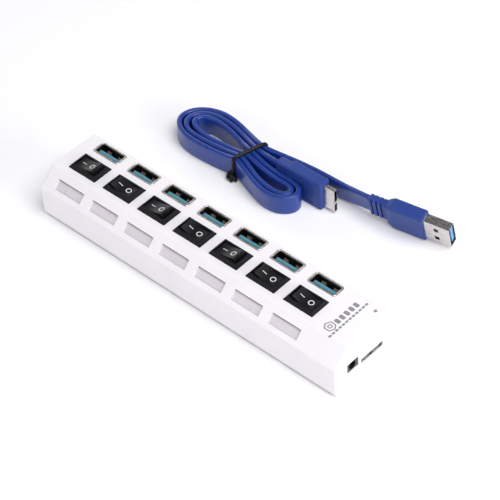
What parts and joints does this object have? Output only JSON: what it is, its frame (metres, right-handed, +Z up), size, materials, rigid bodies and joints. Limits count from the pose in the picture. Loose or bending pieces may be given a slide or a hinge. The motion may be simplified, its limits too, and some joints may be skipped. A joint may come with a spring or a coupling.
{
  "type": "usb hub",
  "caption": "Long white USB hub with a row of upright sockets, a black rocker switch and a sunk window for each, end inlets and a tied flat blue lead.",
  "frame": {"origin": "middle of the hub's underside, in the plane that its feet stand on", "axes": "+X along the hub to the end with the inlets, +Y to the back where the sockets are, +Z up"},
  "size_m": [0.16, 0.0944, 0.025],
  "materials": {
    "case_white": "white moulded plastic with a fine satin surface",
    "screw_steel": "zinc plated",
    "foot_rubber": "soft black rubber",
    "board_laminate": "green solder mask",
    "chip_plastic": "black epoxy",
    "crystal_can": "drawn can",
    "capacitor_can": "drawn aluminium can",
    "led_lens": "translucent moulded lens",
    "window_plastic": "frosted translucent plastic",
    "contact_gold": "gold plated",
    "terminal_brass": "plain brass",
    "socket_steel": "nickel plated steel sheet",
    "tongue_blue": "teal blue moulded plastic",
    "switch_black": "black polished plastic",
    "rocker_black": "black polished plastic with white position marks",
    "inlet_black": "black moulded plastic",
    "pin_nickel": "nickel plated",
    "lead_blue": "blue satin cable jacket",
    "plug_blue": "blue satin overmould",
    "plug_steel": "nickel plated steel sheet",
    "insulator_blue": "light blue plastic",
    "tie_black": "black elastic cord"
  },
  "bodies": {
    "root": {"bottom_case": "case_white", "cable_tie": "tie_black", "capacitors": "capacitor_can", "case_screws": "screw_steel", "circuit_board": "board_laminate", "crystal": "crystal_can", "dc_jack_body": "inlet_black", "dc_jack_pin": "pin_nickel", "hub_controller_chips": "chip_plastic", "lead_hank": "lead_blue", "lead_tail": "lead_blue", "micro_b_plug_overmold": "plug_blue", "micro_b_plug_shell": "plug_steel", "micro_b_socket_shell": "socket_steel", "micro_b_socket_tongue": "inlet_black", "port_leds": "led_lens", "power_led": "led_lens", "rubber_feet": "foot_rubber", "switch_housing_1": "switch_black", "switch_housing_2": "switch_black", "switch_housing_3": "switch_black", "switch_housing_4": "switch_black", "switch_housing_5": "switch_black", "switch_housing_6": "switch_black", "switch_housing_7": "switch_black", "switch_terminals": "terminal_brass", "top_cover": "case_white", "usb_a_plug_insulator": "insulator_blue", "usb_a_plug_overmold": "plug_blue", "usb_a_plug_shell": "plug_steel", "usb_socket_contacts": "contact_gold", "usb_socket_shell_1": "socket_steel", "usb_socket_shell_2": "socket_steel", "usb_socket_shell_3": "socket_steel", "usb_socket_shell_4": "socket_steel", "usb_socket_shell_5": "socket_steel", "usb_socket_shell_6": "socket_steel", "usb_socket_shell_7": "socket_steel", "usb_socket_tongue_1": "tongue_blue", "usb_socket_tongue_2": "tongue_blue", "usb_socket_tongue_3": "tongue_blue", "usb_socket_tongue_4": "tongue_blue", "usb_socket_tongue_5": "tongue_blue", "usb_socket_tongue_6": "tongue_blue", "usb_socket_tongue_7": "tongue_blue", "window_light_guide": "window_plastic"},
    "switch_rocker_1": {"rocker_1": "rocker_black", "rocker_contact_1": "terminal_brass"},
    "switch_rocker_2": {"rocker_2": "rocker_black", "rocker_contact_2": "terminal_brass"},
    "switch_rocker_3": {"rocker_3": "rocker_black", "rocker_contact_3": "terminal_brass"},
    "switch_rocker_4": {"rocker_4": "rocker_black", "rocker_contact_4": "terminal_brass"},
    "switch_rocker_5": {"rocker_5": "rocker_black", "rocker_contact_5": "terminal_brass"},
    "switch_rocker_6": {"rocker_6": "rocker_black", "rocker_contact_6": "terminal_brass"},
    "switch_rocker_7": {"rocker_7": "rocker_black", "rocker_contact_7": "terminal_brass"}
  },
  "joints": [
    {"name": "rocker_1_tilt", "type": "hinge", "parent": "root", "child": "switch_rocker_1", "pos_m": [-0.06575, -0.00038, 0.0206], "axis": [0, 1, 0], "range_deg": [0, 22]},
    {"name": "rocker_2_tilt", "type": "hinge", "parent": "root", "child": "switch_rocker_2", "pos_m": [-0.04625, -0.00038, 0.0206], "axis": [0, 1, 0], "range_deg": [-22, 0]},
    {"name": "rocker_3_tilt", "type": "hinge", "parent": "root", "child": "switch_rocker_3", "pos_m": [-0.02675, -0.00038, 0.0206], "axis": [0, 1, 0], "range_deg": [0, 22]},
    {"name": "rocker_4_tilt", "type": "hinge", "parent": "root", "child": "switch_rocker_4", "pos_m": [-0.00725, -0.00038, 0.0206], "axis": [0, 1, 0], "range_deg": [-22, 0]},
    {"name": "rocker_5_tilt", "type": "hinge", "parent": "root", "child": "switch_rocker_5", "pos_m": [0.01225, -0.00038, 0.0206], "axis": [0, 1, 0], "range_deg": [0, 22]},
    {"name": "rocker_6_tilt", "type": "hinge", "parent": "root", "child": "switch_rocker_6", "pos_m": [0.03175, -0.00038, 0.0206], "axis": [0, 1, 0], "range_deg": [-22, 0]},
    {"name": "rocker_7_tilt", "type": "hinge", "parent": "root", "child": "switch_rocker_7", "pos_m": [0.05125, -0.00038, 0.0206], "axis": [0, 1, 0], "range_deg": [-22, 0]}
  ]
}
